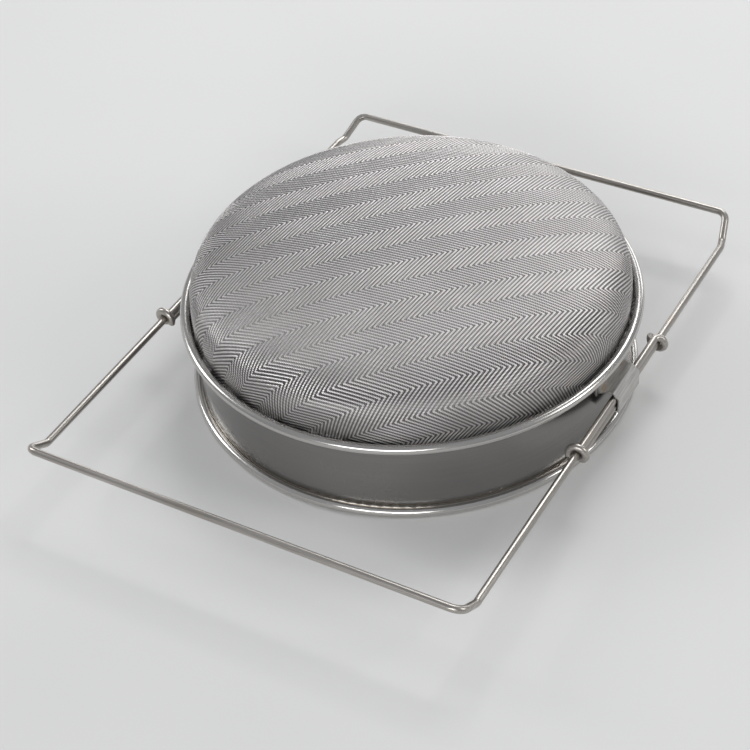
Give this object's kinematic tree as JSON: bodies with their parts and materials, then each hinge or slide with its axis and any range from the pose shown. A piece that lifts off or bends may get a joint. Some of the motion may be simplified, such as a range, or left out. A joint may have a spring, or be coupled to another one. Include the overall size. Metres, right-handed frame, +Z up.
{
  "type": "soil sieve",
  "caption": "Round steel sieve with a domed herringbone wire-cloth bottom, rolled rims and sliding wire arms that hang it over a bin",
  "frame": {"origin": "centre of the open rim, on the plane the rim stands on; the sieve stands mesh uppermost, as it is stored. In use it is turned over", "axes": "+Z up through the mesh crown, Y along the sliding arms (front arm towards -Y), X across them through the two brackets"},
  "size_m": [0.2566, 0.3318, 0.0859],
  "materials": {
    "band_sheet": "satin polished stainless sheet",
    "ring_sheet": "satin rolled stainless edge",
    "wire_cloth": "woven stainless wire cloth, herringbone",
    "clip_sheet": "folded stainless sheet, spot welded",
    "arm_wire": "drawn stainless wire"
  },
  "bodies": {
    "sieve": {"side_band": "band_sheet", "rim_wire": "arm_wire", "mesh_ring": "ring_sheet", "ring_wire": "arm_wire", "mesh_dome": "wire_cloth", "bracket_right": "clip_sheet", "bracket_left": "clip_sheet"},
    "front_arm_body": {"front_arm": "arm_wire"},
    "rear_arm_body": {"rear_arm": "arm_wire"}
  },
  "joints": [
    {"name": "front_arm_slide", "type": "slide", "parent": "sieve", "child": "front_arm_body", "axis": [0, -1, 0], "range_m": [-0.0554, 0.0262]},
    {"name": "rear_arm_slide", "type": "slide", "parent": "sieve", "child": "rear_arm_body", "axis": [0, 1, 0], "range_m": [-0.028, 0.0378]}
  ]
}
